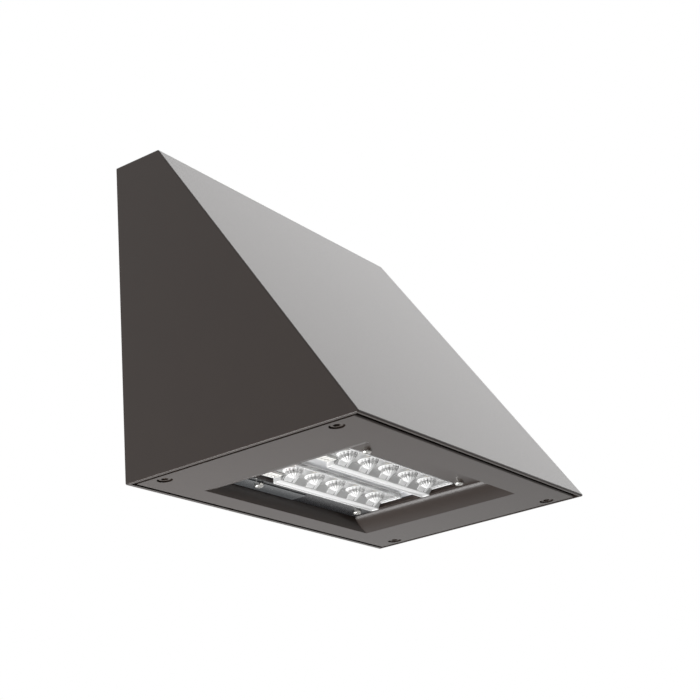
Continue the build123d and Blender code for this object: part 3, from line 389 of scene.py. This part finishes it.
def dome(x, y):
    """Fluted cone of clear acrylic, hanging with its tip down. Its radius falls with the depth as
    (1 - d^1.5)^0.7 and dips by 12 % between the lobes, and its rings lie closer towards the tip.
    The second result is the point attribute that paints the acrylic: 1 on the lobes, 0.45 in the
    grooves, and 0 in the clear band, where the cavity shows through. The lobes are painted whiter
    as painted light and the grooves greyer as painted shade."""
    around = np.linspace(0, 2 * pi, POINTS_PER_LOBE * LOBES, endpoint=False)
    down = 1 - (1 - np.linspace(0, 1, RINGS)) ** 1.6
    depth, turn = np.meshgrid(down, around, indexing="ij")
    lobe = np.abs(np.cos(turn * LOBES / 2)) ** 0.7
    radius = DOME_R * (1 - depth ** 1.5) ** 0.7 * (0.88 + 0.12 * lobe)
    radius[-1] = SMALLEST_R
    z = LENS_FOOT - DOME_DEPTH * depth
    points = np.stack([x + radius * np.cos(turn), y + radius * np.sin(turn), z], -1)
    faces = grid_faces(len(down), len(around))[:, ::-1].tolist()
    last = (len(down) - 1) * len(around)
    faces.append([last + i for i in range(len(around))][::-1])
    # painted light and shade: the lobes whiter and more opaque than the grooves
    painted_light = 0.45 + 0.55 * lobe
    painted_light[(depth > CLEAR_BAND[0]) & (depth < CLEAR_BAND[1])] = 0.0
    return (points.reshape(-1, 3), faces), painted_light.ravel()


def bar(outline, x0, x1):
    """Straight bar along X with a closed y-z outline."""
    points = [(x, y, z) for x in (x0, x1) for y, z in outline]
    count = len(outline)
    around = list(range(count))
    sides = [[i, (i + 1) % count, count + (i + 1) % count, count + i] for i in around]
    ends = [around[::-1], [count + i for i in around]]
    return np.array(points, dtype=float), sides + ends


def ridge_outline(y, low, high, proud_low, proud_high):
    """Outline of the ridge's leaning front face between two heights, standing proud of it by an
    amount at its lower and one at its upper edge."""
    def at(z, out):
        lean = RIDGE_LEAN * (z - RIDGE_FOOT) / (LENS_FOOT - RIDGE_FOOT)
        return y + RIDGE_START - lean - out, z

    return [at(high, proud_high), at(low, proud_low), at(low, -SUNK), at(high, -SUNK)]


def lens_strip(row):
    """Plate with border beads, five fluted domes, and a ridge behind them whose leaning front face
    carries a window plate and a bar beside each dome."""
    y = ROWS[row]
    front, back = y - LENS_AHEAD, y + RIDGE_BACK
    ridge_front = y + RIDGE_START
    cut = y + RIDGE_START - CORNER_CUT
    parts, painted_light = [], []

    def put(part, amount):
        parts.append(part)
        painted_light.append(np.full(len(part[0]), amount) if np.isscalar(amount) else amount)

    # painted light: the beads, the ridge's beads and the windows are painted white and nearly
    # opaque
    # plate: whole ahead of the cut, and without the connector's corner behind it
    put(slab((LENS_LEFT, front, LENS_FOOT), (LENS_RIGHT, cut, LENS_TOP), *PLATE_ROUND), CLEAR)
    put(slab((RIDGE_LEFT, cut, LENS_FOOT), (LENS_RIGHT, back, LENS_TOP), *PLATE_ROUND), CLEAR)
    # border beads along the front edge and the right end, and the inner bead beside the latter
    hang, top = LENS_FOOT - BORDER_HANG, LENS_FOOT + BITE
    put(slab((LENS_LEFT, front, hang), (LENS_RIGHT, front + BORDER_WIDTH, top), *BORDER_ROUND),
        PAINTED_WHITE)
    put(slab((LENS_RIGHT - BORDER_WIDTH, front, hang), (LENS_RIGHT, back, top), *BORDER_ROUND),
        PAINTED_WHITE)
    put(slab((LENS_RIGHT - INNER_BEAD[0], front + INNER_BEAD_START, LENS_FOOT - INNER_BEAD_HANG),
             (LENS_RIGHT - INNER_BEAD[1], ridge_front, top), *INNER_ROUND), PAINTED_MILKY)
    # ridge: its body, its leaning face, and the beads along its back edge and its right end
    put(slab((RIDGE_LEFT, ridge_front, RIDGE_FOOT + RIDGE_BODY_LIFT),
             (LENS_RIGHT, back, LENS_FOOT + RIDGE_BODY_LIFT), *RIDGE_ROUND), PAINTED_MILKY)
    put(bar(ridge_outline(y, RIDGE_FOOT + FACE_LIFT, LENS_FOOT, 0.0, 0.0),
            RIDGE_LEFT + FACE_ENDS[0], LENS_RIGHT - FACE_ENDS[1]), PAINTED_HAZY)
    put(slab((RIDGE_LEFT, back - LEDGE_WIDTH, RIDGE_FOOT),
             (LENS_RIGHT, back, RIDGE_FOOT + LEDGE_HEIGHT), *RIDGE_BEAD_ROUND), PAINTED_WHITE)
    put(slab((LENS_RIGHT - END_WIDTH, ridge_front, RIDGE_FOOT), (LENS_RIGHT, back, LENS_FOOT),
             *RIDGE_BEAD_ROUND), PAINTED_WHITE)
    window = ridge_outline(y, RIDGE_FOOT + WINDOW_MARGINS[0], LENS_FOOT - WINDOW_MARGINS[1],
                           *WINDOW_PROUD)
    # cavity over the chip: a small round-ended hole that hangs into the dome, and whose last ring
    # isn't quite a point. Its walls are painted near black as painted shade.
    share = np.linspace(0, 1, 7)
    cavity_radii = CAVITY_R * np.sqrt(1 - 0.998 * share ** 2)
    for x in LED_XS:
        put(*dome(x, y))
        put(ring_bead(x, y, DOME_R + BEAD_OUT, LENS_FOOT - BEAD_OUT), PAINTED_WHITE)
        put(revolved(x, y, cavity_radii, LENS_FOOT - CAVITY_DEPTH * share), CAVITY)
        # painted light: the window plates and bars are painted white
        for left, right in (WINDOW, WINDOW_BAR):
            put(bar(window, x + left, x + right), PAINTED_WHITE)
    return join(parts), np.concatenate(painted_light)


for row in ROWS:
    part, painted_light = lens_strip(row)
    strip = piece(f"fluted_lens_{row}", part, acrylic, "door",
                  attribute=("painted_light", painted_light))
    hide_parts(f"lens_strip_{row}")


# ---- module lead -----------------------------------------------------------------------------
LEAD_D = 6.0
# from the driver's right end down to the module socket
LEAD_ROUTE = [(105, -26.8, 262), (118, -26.8, 262), (127, -27, 256), (127, -35, 202),
              (104, -46, 174), (50, -61, 142), (-28, -78, 106), (-76, -103, 92),
              (-88.2, -108.3, 76), (-88.2, -108.3, 60), (-88.2, -108.3, 44.4)]


def lead():
    """Jacketed lead on one smooth spline, guided by the route's points."""
    curve = bpy.data.curves.new("module_lead_jacket", "CURVE")
    curve.dimensions = "3D"
    curve.bevel_depth = LEAD_D / 2 * MM
    curve.bevel_resolution = 5
    curve.resolution_u = 8
    curve.use_fill_caps = True
    spline = curve.splines.new("NURBS")
    spline.points.add(len(LEAD_ROUTE) - 1)
    for point, (x, y, z) in zip(spline.points, LEAD_ROUTE):
        point.co = (x * MM, y * MM, (z + RIM) * MM, 1.0)
    spline.order_u = 3
    spline.use_endpoint_u = True
    drawn = bpy.data.objects.new("lead_curve", curve)
    bpy.context.scene.collection.objects.link(drawn)
    evaluated = drawn.evaluated_get(bpy.context.evaluated_depsgraph_get())
    mesh = bpy.data.meshes.new_from_object(evaluated)
    bpy.data.objects.remove(drawn)
    mesh.name = "module_lead_jacket"
    mesh.materials.clear()
    mesh.materials.append(black_plastic)
    shown = bpy.data.objects.new("module_lead_jacket", mesh)
    bpy.context.scene.collection.objects.link(shown)
    mesh.shade_smooth()
    return shown


jacket = lead()
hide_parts("module_lead")
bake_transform(jacket)


# ---- studio ----------------------------------------------------------------------------------
CAMERA_PLACE = (-1.1585, -0.8312, -0.5249)
CAMERA_AZIMUTH, CAMERA_BELOW, CAMERA_ROLL = radians(-58.2955), radians(20.8053), radians(-6.4918)
SENSOR_WIDTH, FOCAL_LENGTH = 36.0, 77.77    # mm
FLOOR_X, FLOOR_Y, FLOOR_Z = (-1.9, 5.0), (-5.0, 1.0), -1.15
WORLD_DIM, WORLD_BRIGHT = 0.22, 1.50
BRIGHT_SIDE = (0.40, 0.90, -0.10)           # direction in which the world is brighter


def aim_camera():
    """Camera whose back points to the azimuth and down by the angle below, then rolled."""
    level = cos(CAMERA_BELOW)
    back = Vector((sin(CAMERA_AZIMUTH) * level, -cos(CAMERA_AZIMUTH) * level, -sin(CAMERA_BELOW)))
    right = (-back).cross(Vector((0, 0, 1))).normalized()
    up = back.cross(right)
    turned_right = cos(CAMERA_ROLL) * right + sin(CAMERA_ROLL) * up
    turned_up = back.cross(turned_right)
    data = bpy.data.cameras.new("camera")
    data.lens = FOCAL_LENGTH
    data.sensor_width = SENSOR_WIDTH
    data.clip_start, data.clip_end = 0.01, 50.0
    camera = bpy.data.objects.new("camera", data)
    camera.matrix_world = (Matrix.Translation(CAMERA_PLACE)
                           @ Matrix((turned_right, turned_up, back)).transposed().to_4x4())
    bpy.context.scene.collection.objects.link(camera)
    bpy.context.scene.camera = camera


def softbox(name, place, target, side, power):
    """Square area lamp at a place, turned to a target."""
    data = bpy.data.lights.new(name, "AREA")
    data.shape = "SQUARE"
    data.size = side
    data.energy = power
    lamp = bpy.data.objects.new(name, data)
    lamp.location = place
    lamp.rotation_euler = (Vector(target) - Vector(place)).to_track_quat("-Z", "Y").to_euler()
    bpy.context.scene.collection.objects.link(lamp)


def studio():
    """Pale floor well below the light, darker for what it lights. A world that is white where it
    is seen, also in metal and glass, and lights the object most from behind its right. Softboxes
    at the left, at the upper right and, small, from below for the lenses."""
    (left, right), (front, back) = FLOOR_X, FLOOR_Y
    corners = [(left, front, FLOOR_Z), (right, front, FLOOR_Z), (right, back, FLOOR_Z),
               (left, back, FLOOR_Z)]
    floor_mesh = bpy.data.meshes.new("floor")
    floor_mesh.from_pydata(corners, [], [(0, 1, 2, 3)])
    material, tree, shader = new_material("pale_floor")
    pale = tinted(tree, noise(tree, 60.0), "#c9c9c8", "#cccccb")
    bounced = add(tree, "ShaderNodeLightPath").outputs["Is Diffuse Ray"]
    tree.links.new(mixed(tree, bounced, pale, linear("#606060")), shader.inputs["Base Color"])
    shader.inputs["Roughness"].default_value = 0.7
    floor_mesh.materials.append(material)
    floor = bpy.data.objects.new("floor", floor_mesh)
    bpy.context.scene.collection.objects.link(floor)

    world = bpy.data.worlds.new("studio")
    bpy.context.scene.world = world
    world.use_nodes = True
    tree = world.node_tree
    tree.nodes.clear()
    direction = add(tree, "ShaderNodeTexCoord").outputs["Generated"]
    towards = add(tree, "ShaderNodeVectorMath", {0: direction, 1: BRIGHT_SIDE},
                  operation="DOT_PRODUCT").outputs["Value"]
    level = add(tree, "ShaderNodeMapRange",
                {"Value": towards, "From Min": 0.1, "From Max": 0.85,
                 "To Min": WORLD_DIM, "To Max": WORLD_BRIGHT}).outputs[0]
    bounced = add(tree, "ShaderNodeLightPath").outputs["Is Diffuse Ray"]
    strength = mixed(tree, bounced, 1.0, level, "FLOAT")
    background = add(tree, "ShaderNodeBackground",
                     {"Color": (1.0, 1.0, 1.0, 1.0), "Strength": strength})
    add(tree, "ShaderNodeOutputWorld", {"Surface": background.outputs[0]})

    softbox("softbox_left", (-1.9, -1.1, 0.5), (0, -0.1, 0), side=1.2, power=6.0)
    softbox("softbox_right", (2.4, 0.25, 2.1), (0, -0.1, 0), side=3.0, power=38.0)
    softbox("softbox_below", (-0.45, 0.3, -1.1), (0, -0.1, -0.1), side=0.6, power=22.0)


aim_camera()
studio()
bpy.context.scene.view_settings.view_transform = "Standard"
